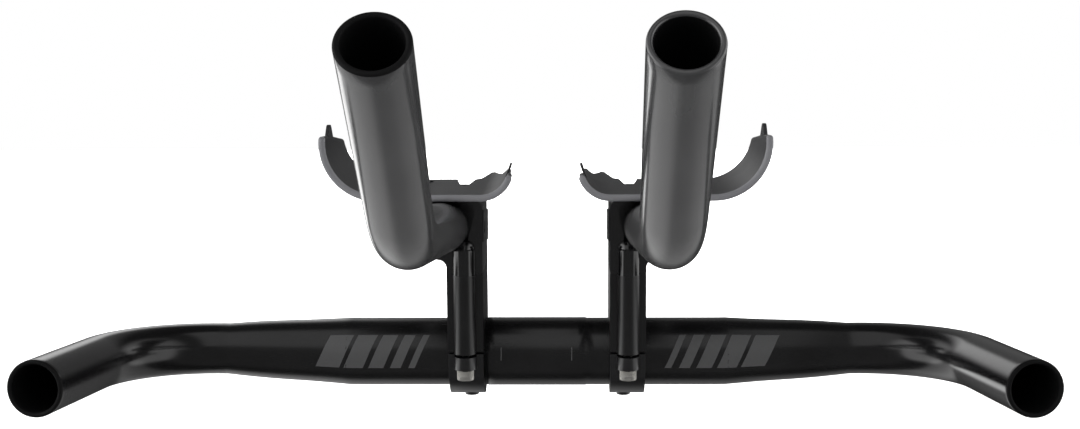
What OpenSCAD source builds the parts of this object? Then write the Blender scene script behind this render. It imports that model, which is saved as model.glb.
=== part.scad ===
// Time trial handlebar: a bullhorn base bar, two bent extensions in riser brackets, and two arm cups.
// Millimetres. The bar runs along X, forward is -Y and up is +Z.
// The origin is the centre of the bar's stem clamping zone. Left is the rider's left, at +X.

/* [Base bar] */
// Diameter of the ground zone that a stem clamps
stem_d = 31.7; // [31.6:0.1:31.8]
// Length of the ground zone that a stem clamps
stem_zone = 46; // [40:1:47]
// How much smaller in radius the bar is beside that zone
flank_relief = 0.2; // [0.18:0.02:0.4]
// Distance from the middle to the start of the taper
taper_start = 81.6; // [76:0.2:90]
// Distance along the bar from the start of the taper to the bend
taper_len = 63.2; // [50:0.2:75]
// How far the bar tips upwards from the taper on
bar_lift = 1.2; // [0.5:0.1:3]
// Diameter of the horns
horn_d = 23.8; // [22.2:0.1:24.2]
// Wall of the horns
horn_wall = 2; // [1.6:0.1:2.6]
// Wall of the middle of the bar
bar_wall = 2.4; // [2:0.1:3]
// Centre line radius of the forward bend
horn_bend_r = 50.3; // [40:0.1:60]
// How far the horns splay outwards
horn_splay = 6.5; // [0:0.5:10]
// How far the bend's plane rises towards the front
horn_rise = 4.3; // [0:0.1:10]
// Straight length of each horn after its bend
horn_len = 57.4; // [40:0.2:100]

/* [Extensions] */
// Diameter of the extensions
ext_d = 22.2; // [22:0.1:22.4]
// Wall of the extensions
ext_wall = 2; // [1.6:0.1:2.4]
// Sideways distance of each extension from the middle of the pair, at the bar
ext_x = 46.25; // [45.5:0.25:48]
// Height of each extension's centre line over the bar's
ext_z = 59.3; // [58.5:0.1:60.5]
// Slope of the clamped run
ext_rise = 8.2; // [6:0.1:9]
// How far the clamped run turns inwards
ext_toe = 0.4; // [0:0.1:1]
// Distance from the bar's axis forward to the start of the bend
ext_fore = 172.6; // [150:0.2:190]
// Distance from the bar's axis back to the rear end
ext_aft = 52; // [45:1:90]
// Centre line radius of the upward bend
ext_bend_r = 70; // [60:1:90]
// Angle of the upward bend
ext_bend = 31.9; // [20:0.1:45]
// How far the bend's plane leans inwards
ext_roll = 1.6; // [0:0.1:4]
// Straight length of each grip after its bend
ext_grip = 87.2; // [60:0.2:110]

/* [Brackets] */
// How far the middle of the bracket pair sits to the left of the bar's middle
pair_shift = 4.8; // [0:0.1:5]
// Distance from the middle of the pair to the inner side of each bracket
post_x = 28.8; // [28.6:0.1:29]
// Width of each bracket along the bar
post_w = 16.4; // [16:0.1:17]
// Depth of each bracket, front to back
post_depth = 40; // [38:0.5:41]
// Height of the bracket's lower face over the bar's axis
post_base = 4.6; // [4.2:0.1:5]
// Outer radius of the ring around the extension
ring_r = 15; // [14.6:0.1:15.4]
// Radius of the hollow between the ring and the post
neck_r = 4; // [3:0.5:5]
// Rounding of the bracket's upper inner edge
shoulder_r = 6; // [4:0.5:7]
// Height of the table that carries the arm cup
table_z = 76.3; // [76.3:0.1:77]
// Thickness of that table
table_t = 11; // [10:0.5:12]
// Distance of the screw columns from the bar's axis, front and rear
column_y = 22; // [21.5:0.1:22.5]
// Diameter of the screw columns
column_d = 10.3; // [10:0.1:10.8]
// Height of the centre of the front column's domed top
dome_z = 51.8; // [50:0.1:52.5]
// Height of the centre of the rear column's domed top
rear_dome_z = 42; // [38:0.1:43]
// How far the pad for the grub screws stands out
pad_t = 0.6; // [0.4:0.1:1.6]

/* [Lower jaws] */
// Width of the strap under the bar
jaw_w = 16; // [15:0.1:16.4]
// Thickness of the strap
jaw_t = 3.7; // [3.2:0.1:4.5]
// Height of the upper face of each ear
ear_top = 3.2; // [2.8:0.1:3.6]
// Thickness of each ear
ear_t = 5.9; // [5:0.1:6.5]
// Diameter of the round button under the strap
button_d = 6.4; // [5:0.1:8]
// How far that button stands out
button_t = 1.2; // [0.8:0.1:1.6]

/* [Screws] */
// Thread diameter of the jaw screws and the cup screws
screw_d = 5; // [5:0.1:5.2]
// Head diameter of the jaw screws
jaw_head_d = 7.6; // [7.2:0.1:8.5]
// Head height of the jaw screws
jaw_head_h = 5.6; // [4:0.1:6]
// Thread diameter of the grub screws
grub_d = 6; // [5:0.1:6]
// Head diameter of the cup screws
cup_head_d = 9.5; // [8.8:0.1:9.5]
// Head height of the cup screws
cup_head_h = 2.7; // [2.4:0.1:3]
// Distance of the cup screws from the middle of the pair
cup_screw_x = 60; // [58.5:0.5:60.5]
// Distance of the cup screws from the bar's axis, front and rear
cup_screw_y = 12; // [10:0.5:12]
// Outer diameter of the washers
washer_d = 10; // [9.6:0.1:11]
// Thickness of the washers
washer_t = 1; // [0.8:0.1:1.2]

/* [Arm cups] */
// Thickness of the cup's shell
cup_t = 2.3; // [2:0.1:2.6]
// Length of the cup, front to back
cup_len = 57; // [54:1:60]
// Distance of the cup's front edge from the bar's axis
cup_front = 35; // [33:0.5:36]
// Distance from the middle of the pair to where the inner wing starts
cup_flat_in = 28.6; // [28:0.1:29.5]
// Distance from the middle of the pair to where the outer wing starts
cup_flat_out = 74; // [72:0.5:76]
// Outside radius of the outer wing
cup_outer_r = 25; // [24:0.5:27]
// Outside radius of the inner wing
cup_inner_r = 14.5; // [13.5:0.5:15]
// Height of the outer wing's front corner over the cup's underside
wing_outer_h = 28.8; // [26:0.2:30]
// Height of the inner wing's front corner over the cup's underside
wing_inner_h = 10.7; // [10:0.1:12]
// Radius of the bead along the front edge
lip_r = 1.5; // [1.2:0.1:1.8]
// Depth of the notch in the rear edge
notch_depth = 23; // [12:1:24]
// Width of the notch in the rear edge
notch_w = 8.8; // [6:0.1:9.4]
// Width of the slots for the cup screws
slot_w = 5.6; // [5.4:0.1:6]
// Travel that the slots allow
slot_travel = 8; // [4:1:9]

/* [Fits] */
// Radial gap between a tube and the bracket that grips it
grip_gap = 0.05; // [0.03:0.01:0.1]
// Radial gap between a screw and its thread
thread_gap = 0.05; // [0.03:0.01:0.1]
// Radial gap between a screw and its clearance hole
hole_gap = 0.2; // [0.15:0.05:0.3]

/* [Hidden] */
$fn = 96;
bar_r = stem_d / 2 - flank_relief;
horn_r = horn_d / 2;
ext_r = ext_d / 2;
bar_grip_r = bar_r + grip_gap;
ext_grip_r = ext_r + grip_gap;
thread_r = screw_d / 2 + thread_gap;
clear_r = screw_d / 2 + hole_gap;
grub_r = grub_d / 2;
post_out = post_x + post_w;
screw_x = post_x + post_w / 2;
column_r = column_d / 2;
ear_bottom = ear_top - ear_t;
jaw_r = bar_grip_r + jaw_t;
lift_r = 300;
bend_thinning = 0.01;
lap = 0.3;
cup_floor = table_z + cup_t;
cup_rear = cup_len - cup_front;
grub_y = 11;
socket_d = 4.6;
far = 200;

// A straight stretch of tube along +Z whose outer and inner radii may change evenly.
module run(r0, r1, bore0, bore1, length) {
    rotate_extrude()
        polygon([[bore0, 0], [r0, 0], [r1, length], [bore1, length]]);
}

// A stretch of tube that starts along +Z and bends towards +X.
module bend(r, bore, bend_r, angle) {
    translate([bend_r, 0, 0])
        rotate([90, 0, 180])
            rotate_extrude(angle = angle)
                translate([bend_r, 0])
                    difference() {
                        circle(r - bend_thinning);
                        circle(bore + bend_thinning);
                    }
}

// A straight stretch that laps a little over the end of the bend before it.
module run_on(r, bore, length) {
    translate([0, 0, -lap])
        run(r, r, bore, bore, length + lap);
}

// Puts its children at the far end of such a bend, along its new heading.
module after_bend(bend_r, angle) {
    translate([bend_r * (1 - cos(angle)), 0, bend_r * sin(angle)])
        rotate([0, angle, 0])
            children();
}

// Half of the base bar, from its middle outwards along +X.
module half_bar() {
    half_zone = stem_zone / 2;
    bore = stem_d / 2 - bar_wall;
    horn_bore = horn_r - horn_wall;
    flank = taper_start - half_zone;
    lift_len = lift_r * bar_lift * PI / 180;
    taper = taper_len - lift_len;
    mid_r = horn_r + (bar_r - horn_r) * 0.42;
    mid_bore = horn_bore + (bore - horn_bore) * 0.42;
    rotate([0, 90, 0])
        rotate([0, 0, 180]) {
            run(stem_d / 2, stem_d / 2, bore, bore, half_zone);
            translate([0, 0, half_zone])
                run(bar_r, bar_r, bore, bore, flank + lap);
            translate([0, 0, taper_start]) {
                bend(bar_r, bore, lift_r, bar_lift);
                after_bend(lift_r, bar_lift) {
                    run_on(bar_r, bore, 0);
                    run(bar_r, mid_r, bore, mid_bore, taper * 0.66);
                    translate([0, 0, taper * 0.66])
                        run(mid_r, horn_r, mid_bore, horn_bore, taper * 0.34);
                    translate([0, 0, taper]) {
                        run(horn_r, horn_r, horn_bore, horn_bore, lap);
                        rotate([0, 0, 90 - horn_rise]) {
                            bend(horn_r, horn_bore, horn_bend_r, 90 - horn_splay);
                            after_bend(horn_bend_r, 90 - horn_splay)
                                run_on(horn_r, horn_bore, horn_len);
                        }
                    }
                }
            }
        }
}

module base_bar() {
    color([0.06, 0.06, 0.07]) {
        half_bar();
        mirror([1, 0, 0])
            half_bar();
    }
}

// Moves its children to a side of the bracket pair, mirrored for the rider's right.
module at_side(side) {
    translate([pair_shift, 0, 0])
        mirror([side == "right" ? 1 : 0, 0, 0])
            children();
}

// The clamped run's own frame: +Z runs forward along it, +Y is up and +X is outwards.
module along_extension() {
    translate([ext_x, 0, ext_z])
        rotate([90 - ext_rise, 0, 0])
            rotate([0, -ext_toe, 0])
                children();
}

module extension(side) {
    bore = ext_r - ext_wall;
    color([0.13, 0.13, 0.14])
        at_side(side)
            along_extension() {
                translate([0, 0, -ext_aft])
                    run(ext_r, ext_r, bore, bore, ext_aft + ext_fore + lap);
                translate([0, 0, ext_fore])
                    rotate([0, 0, 90 + ext_roll]) {
                        bend(ext_r, bore, ext_bend_r, ext_bend);
                        after_bend(ext_bend_r, ext_bend)
                            run_on(ext_r, bore, ext_grip);
                    }
            }
}

// A box given by its two far corners.
module box(low, high) {
    translate(low)
        cube(high - low);
}

// The post between the bar and the cup table, with its upper inner edge rounded.
module post() {
    half = post_depth / 2;
    box([post_x, -half, post_base], [post_out, half, table_z - shoulder_r]);
    box([post_x + shoulder_r, -half, table_z - shoulder_r - 1], [post_out, half, table_z]);
    intersection() {
        translate([post_x + shoulder_r, half, table_z - shoulder_r])
            rotate([90, 0, 0])
                cylinder(r = shoulder_r, h = post_depth);
        box([post_x - 1, -half, table_z - shoulder_r], [post_x + shoulder_r, half, table_z]);
    }
}

// Height of the dome's centre on the front column (-1) or the rear one (1).
function dome_height(end) = end < 0 ? dome_z : rear_dome_z;

// A screw column down the front or the rear of the post, with a domed top.
module column(end) {
    top = dome_height(end);
    translate([screw_x, end * column_y, post_base])
        cylinder(d = column_d, h = top - post_base);
    translate([screw_x, end * column_y, top])
        sphere(d = column_d);
}

// The ring around the extension and the hollow that blends it into the post.
module ring() {
    span = far / 2;
    reach = sqrt(pow(ring_r + neck_r, 2) - pow(neck_r - ext_x + post_out, 2));
    intersection() {
        along_extension()
            translate([0, 0, -span / 2]) {
                cylinder(r = ring_r, h = span);
                difference() {
                    translate([-ring_r, -reach, 0])
                        cube([ring_r + post_out - ext_x + neck_r, reach, span]);
                    translate([post_out - ext_x + neck_r, -reach, -1])
                        cylinder(r = neck_r, h = span + 2);
                }
            }
        box([post_x + 1, -post_depth / 2, post_base + 20], [far, post_depth / 2, table_z]);
    }
}

// The flat table that the arm cup sits on, with a round boss at each cup screw.
module table() {
    low = table_z - table_t;
    boss_r = 7;
    box([ext_x, -cup_screw_y - boss_r, low], [cup_screw_x, cup_screw_y + boss_r, table_z]);
    box([cup_screw_x, -cup_screw_y, low], [cup_screw_x + boss_r, cup_screw_y, table_z]);
    for (end = [-1, 1])
        translate([cup_screw_x, end * cup_screw_y, low])
            cylinder(r = boss_r, h = table_t);
}

// The raised pad on the inner side that gives the grub screws their thread.
module pad() {
    intersection() {
        along_extension()
            box([-ext_x, -6.5, -19], [-8, 8, 19]);
        box([post_x - pad_t, -far, 0], [post_x + 2, far, far]);
    }
}

// Both grub screws lie square to the extension, through the pad.
module at_grub(end) {
    along_extension()
        translate([0, 0, -end * grub_y])
            rotate([0, -90, 0])
                children();
}

module bracket(side) {
    color([0.09, 0.09, 0.1])
        at_side(side)
            difference() {
                union() {
                    post();
                    column(-1);
                    column(1);
                    ring();
                    table();
                    pad();
                }
                translate([post_x - post_w, 0, 0])
                    rotate([0, 90, 0])
                        cylinder(r = bar_grip_r, h = post_w * 3);
                along_extension()
                    translate([0, 0, -far / 4])
                        cylinder(r = ext_grip_r, h = far / 2);
                for (end = [-1, 1]) {
                    translate([screw_x, end * column_y, 0])
                        cylinder(r = thread_r, h = dome_height(end) + column_r);
                    translate([cup_screw_x, end * cup_screw_y, table_z - 9.5])
                        cylinder(r = thread_r, h = table_t * 2);
                    at_grub(end)
                        cylinder(r = grub_r + thread_gap, h = ring_r * 2);
                }
            }
}

module lower_jaw(side) {
    jaw_x = screw_x - jaw_w / 2;
    color([0.09, 0.09, 0.1])
        at_side(side)
            difference() {
                union() {
                    intersection() {
                        translate([jaw_x, 0, 0])
                            rotate([0, 90, 0])
                                cylinder(r = jaw_r, h = jaw_w);
                        box([jaw_x - 1, -30, -30], [jaw_x + jaw_w + 1, 30, ear_top]);
                    }
                    for (end = [-1, 1]) {
                        translate([screw_x, end * column_y, ear_bottom])
                            cylinder(d = column_d, h = ear_t);
                        translate([screw_x - column_r, end * (column_y + 15) / 2 - (column_y - 15) / 2, ear_bottom])
                            cube([column_d, column_y - 15, ear_t]);
                    }
                    translate([screw_x - 1.4, 0, -jaw_r - button_t])
                        cylinder(d = button_d, h = jaw_t);
                }
                translate([jaw_x - 1, 0, 0])
                    rotate([0, 90, 0])
                        cylinder(r = bar_grip_r, h = jaw_w + 2);
                for (end = [-1, 1]) {
                    translate([screw_x, end * column_y, -jaw_r * 2])
                        cylinder(r = clear_r, h = jaw_r * 4);
                    translate([screw_x, end * column_y, ear_bottom - 20])
                        cylinder(d = jaw_head_d + 0.6, h = 20);
                }
            }
}

// A socket head screw along +Z, with the underside of its head at the origin.
module socket_screw(head_d, head_h, length) {
    difference() {
        union() {
            translate([0, 0, -head_h])
                cylinder(d = head_d, h = head_h);
            cylinder(d = screw_d, h = length);
        }
        translate([0, 0, -head_h - 1])
            cylinder(d = socket_d, h = head_h * 0.55 + 1, $fn = 6);
    }
}

module jaw_screw(side, end) {
    color([0.75, 0.75, 0.76])
        at_side(side)
            translate([screw_x, end * column_y, ear_bottom])
                socket_screw(jaw_head_d, jaw_head_h, dome_height(end) + 0.6 - ear_bottom);
}

module grub_screw(side, end) {
    outer = ext_x - post_x + pad_t - 1.2;
    color([0.16, 0.16, 0.17])
        at_side(side)
            at_grub(end)
                difference() {
                    translate([0, 0, ext_r])
                        cylinder(r = grub_r, h = outer - ext_r);
                    translate([0, 0, outer - 3])
                        cylinder(d = 3.5, h = 6, $fn = 6);
                }
}

module cup_washer(side, end) {
    color([0.6, 0.6, 0.61])
        at_side(side)
            translate([cup_screw_x, end * cup_screw_y, cup_floor])
                difference() {
                    cylinder(d = washer_d, h = washer_t);
                    translate([0, 0, -1])
                        cylinder(r = clear_r, h = washer_t + 2);
                }
}

module cup_screw(side, end) {
    color([0.2, 0.2, 0.21])
        at_side(side)
            translate([cup_screw_x, end * cup_screw_y, cup_floor + washer_t])
                rotate([180, 0, 0])
                    socket_screw(cup_head_d, cup_head_h, 12);
}

// A cylinder across the cup, front to back.
module roller(x, z, r) {
    translate([x, far / 2, z])
        rotate([90, 0, 0])
            cylinder(r = r, h = far);
}

// A solid with the cup's section, drawn in from its outside by a given depth.
module cup_body(depth) {
    low = table_z + depth;
    inner_z = table_z + cup_inner_r;
    outer_z = table_z + cup_outer_r;
    box([cup_flat_in, -far / 2, low], [cup_flat_out, far / 2, far]);
    intersection() {
        roller(cup_flat_in, inner_z, cup_inner_r - depth);
        box([0, -far, 0], [cup_flat_in + 1, far, inner_z]);
    }
    intersection() {
        roller(cup_flat_out, outer_z, cup_outer_r - depth);
        box([cup_flat_out - 1, -far, 0], [far, far, far]);
    }
}

// The cup seen from the side: its outer wing slopes down to the rear, its inner one steps down.
module cup_side_outline() {
    outer_top = table_z + wing_outer_h;
    inner_top = table_z + wing_inner_h;
    rear = cup_rear + 30;
    translate([cup_flat_in + 16, 0, 0])
        rotate([90, 0, 90])
            linear_extrude(height = far)
                polygon([
                    [-cup_front, 0], [cup_rear, 0], [cup_rear, outer_top - 8.7],
                    [cup_rear - 1.5, outer_top - 7.1], [-5, outer_top - 3.1], [-21, outer_top - 1.1],
                    [2 - cup_front, outer_top], [-cup_front, outer_top - 0.8]
                ]);
    rotate([90, 0, 90])
        linear_extrude(height = cup_flat_in + 16)
            polygon([
                [-cup_front, 0], [rear, 0], [rear, inner_top - 5.2], [-19, inner_top - 3.2],
                [-23, inner_top], [2 - cup_front, inner_top], [-cup_front, inner_top - 1]
            ]);
}

// The cup seen from above: a notch and a pointed lobe in the rear edge.
module cup_plan_outline() {
    notch_x = cup_flat_in + 8.8;
    lobe_x = cup_flat_in - 3.6;
    linear_extrude(height = far)
        polygon([
            [cup_flat_out + cup_outer_r + 1, -cup_front],
            [cup_flat_out + cup_outer_r + 1, cup_rear],
            [notch_x + notch_w / 2, cup_rear],
            [notch_x + 1, cup_rear - notch_depth + 1.5],
            [notch_x - 0.8, cup_rear - notch_depth],
            [notch_x - 2.2, cup_rear - notch_depth + 2],
            [notch_x - notch_w / 2, cup_rear],
            [lobe_x + 5.5, cup_rear + 3],
            [lobe_x + 1, cup_rear + 25],
            [lobe_x - 1, cup_rear + 25],
            [lobe_x - 5.5, cup_rear + 4],
            [10, cup_rear - 4],
            [10, -cup_front]
        ]);
}

// The round bead along the front edge.
module cup_lip() {
    inset = cup_t / 2;
    sweep_in = acos((cup_inner_r - wing_inner_h + 1.5) / cup_inner_r);
    sweep_out = 90 + asin((wing_outer_h - cup_outer_r - 2) / cup_outer_r);
    translate([0, lip_r - cup_front, 0]) {
        translate([cup_flat_in, 0, table_z + inset])
            rotate([0, 90, 0])
                cylinder(r = lip_r, h = cup_flat_out - cup_flat_in);
        translate([cup_flat_in, 0, table_z + cup_inner_r])
            mirror([1, 0, 0])
                rotate([90, 90, 0])
                    rotate_extrude(angle = sweep_in)
                        translate([cup_inner_r - inset, 0])
                            circle(lip_r);
        translate([cup_flat_out, 0, table_z + cup_outer_r])
            rotate([90, 90, 0])
                rotate_extrude(angle = sweep_out)
                    translate([cup_outer_r - inset, 0])
                        circle(lip_r);
    }
}

// The tongue on the outer wing and the thin blade on the inner one.
module cup_tabs() {
    outer_top = table_z + wing_outer_h;
    inner_top = table_z + wing_inner_h;
    translate([cup_flat_out + cup_outer_r - cup_t + 0.1, 0, 0])
        rotate([90, 0, 90])
            linear_extrude(height = cup_t - 0.3)
                polygon([
                    [-21, outer_top - 5], [-7, outer_top - 5], [-8, outer_top - 2.7], [-12.5, outer_top + 2.4],
                    [-13.5, outer_top + 3.2], [-15, outer_top + 3.2], [-16.2, outer_top + 2.4],
                    [-20, outer_top - 1.2]
                ]);
    translate([18.2, 0, inner_top - 3.6])
        rotate([0, -20, 0])
            box([-0.6, -17, -1], [0.6, -9, 7.4]);
}

module arm_cup(side) {
    color([0.2, 0.2, 0.21])
        at_side(side)
            difference() {
                union() {
                    intersection() {
                        difference() {
                            cup_body(0);
                            cup_body(cup_t);
                        }
                        cup_side_outline();
                        cup_plan_outline();
                    }
                    cup_lip();
                    cup_tabs();
                }
                for (end = [-1, 1]) {
                    for (step = [-1, 1])
                        translate([cup_screw_x + step * slot_travel / 2, end * cup_screw_y, table_z - 1])
                            cylinder(d = slot_w, h = 5);
                    box(
                        [cup_screw_x - slot_travel / 2, end * cup_screw_y - slot_w / 2, table_z - 1],
                        [cup_screw_x + slot_travel / 2, end * cup_screw_y + slot_w / 2, table_z + 4]
                    );
                }
            }
}

base_bar();
extension("left");  // left_extension
extension("right");  // right_extension
bracket("left");  // left_bracket
bracket("right");  // right_bracket
lower_jaw("left");  // left_lower_jaw
lower_jaw("right");  // right_lower_jaw
jaw_screw("left", -1);  // left_front_jaw_screw
jaw_screw("left", 1);  // left_rear_jaw_screw
jaw_screw("right", -1);  // right_front_jaw_screw
jaw_screw("right", 1);  // right_rear_jaw_screw
grub_screw("left", -1);  // left_front_grub_screw
grub_screw("left", 1);  // left_rear_grub_screw
grub_screw("right", -1);  // right_front_grub_screw
grub_screw("right", 1);  // right_rear_grub_screw
arm_cup("left");  // left_arm_cup
arm_cup("right");  // right_arm_cup
cup_washer("left", -1);  // left_front_cup_washer
cup_washer("left", 1);  // left_rear_cup_washer
cup_washer("right", -1);  // right_front_cup_washer
cup_washer("right", 1);  // right_rear_cup_washer
cup_screw("left", -1);  // left_front_cup_screw
cup_screw("left", 1);  // left_rear_cup_screw
cup_screw("right", -1);  // right_front_cup_screw
cup_screw("right", 1);  // right_rear_cup_screw
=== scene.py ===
import math
import bpy
import bmesh
from mathutils import Matrix, Vector


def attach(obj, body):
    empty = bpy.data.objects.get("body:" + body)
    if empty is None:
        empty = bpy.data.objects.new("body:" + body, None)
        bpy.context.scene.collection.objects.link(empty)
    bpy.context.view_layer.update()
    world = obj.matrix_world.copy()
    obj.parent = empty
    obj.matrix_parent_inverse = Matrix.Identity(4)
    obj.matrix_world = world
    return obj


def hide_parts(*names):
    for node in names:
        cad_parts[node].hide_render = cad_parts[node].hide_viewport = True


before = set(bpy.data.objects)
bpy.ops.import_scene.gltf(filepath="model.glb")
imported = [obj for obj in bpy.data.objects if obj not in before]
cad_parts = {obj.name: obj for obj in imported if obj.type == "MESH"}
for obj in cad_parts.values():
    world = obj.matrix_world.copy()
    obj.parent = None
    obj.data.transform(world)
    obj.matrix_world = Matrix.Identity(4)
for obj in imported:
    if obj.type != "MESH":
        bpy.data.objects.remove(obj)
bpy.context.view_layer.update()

MM = 0.001

# Base bar
# One alloy tube, butted and drawn down from a thick middle to slim horns, then bent forward.
# It is polished and anodised gloss black; the middle, where the clamps sit, is left satin.
STEM_R = 15.85 * MM
STEM_ZONE = 46 * MM
ZONE_STEP = 0.3 * MM
BAR_R = 15.65 * MM
HORN_R = 11.9 * MM
HORN_WALL = 2.0 * MM
BAR_WALL = 2.4 * MM
TAPER_START = 81.6 * MM
TAPER_LEN = 63.2 * MM
BAR_LIFT = math.radians(1.2)
LIFT_R = 300 * MM
HORN_BEND_R = 50.3 * MM
HORN_SPLAY = math.radians(6.5)
HORN_RISE = math.radians(4.3)
HORN_LEN = 57.4 * MM
RING_STEP = 1.0 * MM
TUBE_SIDES = 96


def turn(axis, angle):
    return Matrix.Rotation(angle, 4, axis)


def straight_stations(start, length, radii, step):
    """Stations along a straight stretch: a frame whose Z runs on, an outer radius and a bore radius."""
    count = max(2, round(length / step))
    out = []
    for i in range(count + 1):
        t = i / count
        out.append((start @ Matrix.Translation((0, 0, length * t)), *radii(t)))
    return out, out[-1][0]


def bend_stations(start, bend_r, angle, radii, step):
    """Stations round a bend towards the frame's +X."""
    count = max(2, round(bend_r * angle / step))
    out = []
    for i in range(1, count + 1):
        a = angle * i / count
        place = Matrix.Translation((bend_r * (1 - math.cos(a)), 0, bend_r * math.sin(a)))
        out.append((start @ place @ turn("Y", a), *radii(i / count)))
    return out, out[-1][0]


def new_object(name, data):
    made = bpy.data.objects.new(name, data)
    bpy.context.scene.collection.objects.link(made)
    return made


def drawn(bm, name):
    """The drafted faces as a mesh; the draft goes."""
    mesh = bpy.data.meshes.new(name)
    bm.to_mesh(mesh)
    bm.free()
    return mesh


def tube_mesh(name, stations, lip, shaded_rim=True):
    """A tube with a real wall along the stations and a rounded rim at each open mouth.

    The bore takes the second material, a near-black that is partly painted shade; the rims take it too
    when the flag asks for it, as painted shade.
    """
    rim_steps = 6

    def mouth(station, outward):
        """Rings that carry the outer wall round the rim and into the bore."""
        place, outer, bore = station
        middle, half = (outer + bore) / 2, (outer - bore) / 2
        rings = []
        for i in range(1, rim_steps):
            a = math.pi * i / rim_steps
            rings.append((place @ Matrix.Translation((0, 0, outward * lip * math.sin(a))),
                          middle + half * math.cos(a)))
        return rings

    first = (stations[0][0] @ Matrix.Translation((0, 0, lip)), *stations[0][1:])
    last = (stations[-1][0] @ Matrix.Translation((0, 0, -lip)), *stations[-1][1:])
    course = [first, *stations[1:-1], last]
    rings = [(place, outer) for place, outer, bore in course]
    rings += mouth(last, 1)
    rings += [(place, bore) for place, outer, bore in reversed(course)]
    rings += reversed(mouth(first, -1))
    bm = bmesh.new()
    loops = []
    across = None
    for place, radius in rings:
        heading = (place.to_3x3() @ Vector((0, 0, 1))).normalized()
        across = across or place.to_3x3() @ Vector((1, 0, 0))
        across = (across - heading * across.dot(heading)).normalized()
        up = heading.cross(across)
        loops.append([
            bm.verts.new(place.translation + radius * (math.cos(a) * across + math.sin(a) * up))
            for a in (2 * math.pi * k / TUBE_SIDES for k in range(TUBE_SIDES))
        ])
    bore_start = len(course) + rim_steps - 2
    for i, (near, off) in enumerate(zip(loops, loops[1:] + loops[:1])):
        in_bore = bore_start < i < bore_start + len(course)
        for k in range(TUBE_SIDES):
            j = (k + 1) % TUBE_SIDES
            face = bm.faces.new((near[k], near[j], off[j], off[k]))
            # Bore faces, and rim faces when asked, get the near-black material: painted shade in part.
            face.material_index = int(in_bore or (shaded_rim and i >= len(course) - 1))
    bmesh.ops.recalc_face_normals(bm, faces=bm.faces)
    mesh = drawn(bm, name)
    mesh.shade_smooth()
    return mesh


def add_piece(name, mesh, *materials):
    piece = new_object(name, mesh)
    if mesh.materials:
        mesh.materials.clear()
    for material in materials:
        mesh.materials.append(material)
    return piece


def drawn_down(t):
    """Outer and bore radius along the taper, t from 0 to 1."""
    bore = STEM_R - BAR_WALL
    ease = t + 0.045 * math.sin(2 * math.pi * t) - 0.05 * math.sin(math.pi * t)
    return BAR_R + (HORN_R - BAR_R) * ease, bore + (HORN_R - HORN_WALL - bore) * ease


def half_bar_stations():
    """Stations of the half bar on the +X side, from its middle to its mouth."""
    bore = STEM_R - BAR_WALL
    horn_bore = HORN_R - HORN_WALL
    lift_len = LIFT_R * BAR_LIFT
    taper = TAPER_LEN - lift_len
    zone = STEM_ZONE / 2 - ZONE_STEP
    place = turn("Y", math.pi / 2) @ turn("Z", math.pi)
    out, place = straight_stations(place, zone, lambda t: (STEM_R, bore), 4 * RING_STEP)
    place = place @ Matrix.Translation((0, 0, ZONE_STEP))
    more, place = straight_stations(
        place, TAPER_START - STEM_ZONE / 2, lambda t: (BAR_R, bore), 4 * RING_STEP)
    out += more
    more, place = bend_stations(place, LIFT_R, BAR_LIFT, lambda t: (BAR_R, bore), 2 * RING_STEP)
    out += more
    more, place = straight_stations(place, taper, drawn_down, 2 * RING_STEP)
    out += more[1:]
    place = place @ turn("Z", math.pi / 2 - HORN_RISE)
    more, place = bend_stations(
        place, HORN_BEND_R, math.pi / 2 - HORN_SPLAY, lambda t: (HORN_R, horn_bore), 1.5 * RING_STEP)
    out += more
    more, place = straight_stations(place, HORN_LEN, lambda t: (HORN_R, horn_bore), 3 * RING_STEP)
    out += more[1:]
    return out


def base_bar_mesh():
    half = half_bar_stations()
    flip = Matrix.Scale(-1, 4, (1, 0, 0))
    back = Matrix.Scale(-1, 4, (0, 0, 1))
    other = [(flip @ place @ back, outer, bore) for place, outer, bore in reversed(half[1:])]
    return tube_mesh("base_bar_shell", other + half, HORN_WALL * 0.5)


def new_material(name):
    """An empty material with its shader, plus short ways to add and join nodes."""
    material = bpy.data.materials.new(name)
    material.use_nodes = True
    tree = material.node_tree
    shader = tree.nodes["Principled BSDF"]

    def node(kind, **settings):
        made = tree.nodes.new("ShaderNode" + kind)
        for key, value in settings.items():
            if hasattr(made, key):
                setattr(made, key, value)
            else:
                made.inputs[key.replace("_", " ")].default_value = value
        return made

    def join(source, target):
        tree.links.new(source, target)

    return material, shader, node, join


def anodised_alloy(name, dark, light, low_rough, high_rough, brush, coat):
    """Dyed anodising over brushed alloy: fine streaks, faint mottling and a clear sealed surface."""
    material, shader, node, join = new_material(name)
    place = node("TexCoord")
    streak_map = node("Mapping", Scale=brush)
    join(place.outputs["Object"], streak_map.inputs["Vector"])
    streaks = node("TexNoise", Scale=600.0, Detail=3.0, Roughness=0.6)
    join(streak_map.outputs["Vector"], streaks.inputs["Vector"])
    mottle = node("TexNoise", Scale=38.0, Detail=4.0, Roughness=0.55)
    join(place.outputs["Object"], mottle.inputs["Vector"])
    dye = node("ValToRGB")
    dye.color_ramp.elements[0].position = 0.3
    dye.color_ramp.elements[0].color = (*dark, 1)
    dye.color_ramp.elements[1].position = 0.75
    dye.color_ramp.elements[1].color = (*light, 1)
    join(mottle.outputs["Fac"], dye.inputs["Fac"])
    join(dye.outputs["Color"], shader.inputs["Base Color"])
    rough = node("MapRange", To_Min=low_rough, To_Max=high_rough)
    join(streaks.outputs["Fac"], rough.inputs["Value"])
    join(rough.outputs["Result"], shader.inputs["Roughness"])
    relief = node("Bump", Strength=0.06, Distance=0.02 * MM)
    join(streaks.outputs["Fac"], relief.inputs["Height"])
    join(relief.outputs["Normal"], shader.inputs["Normal"])
    shader.inputs["Coat Weight"].default_value = coat
    shader.inputs["Coat Roughness"].default_value = 0.06
    return material, shader, node, join, place, rough


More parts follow.
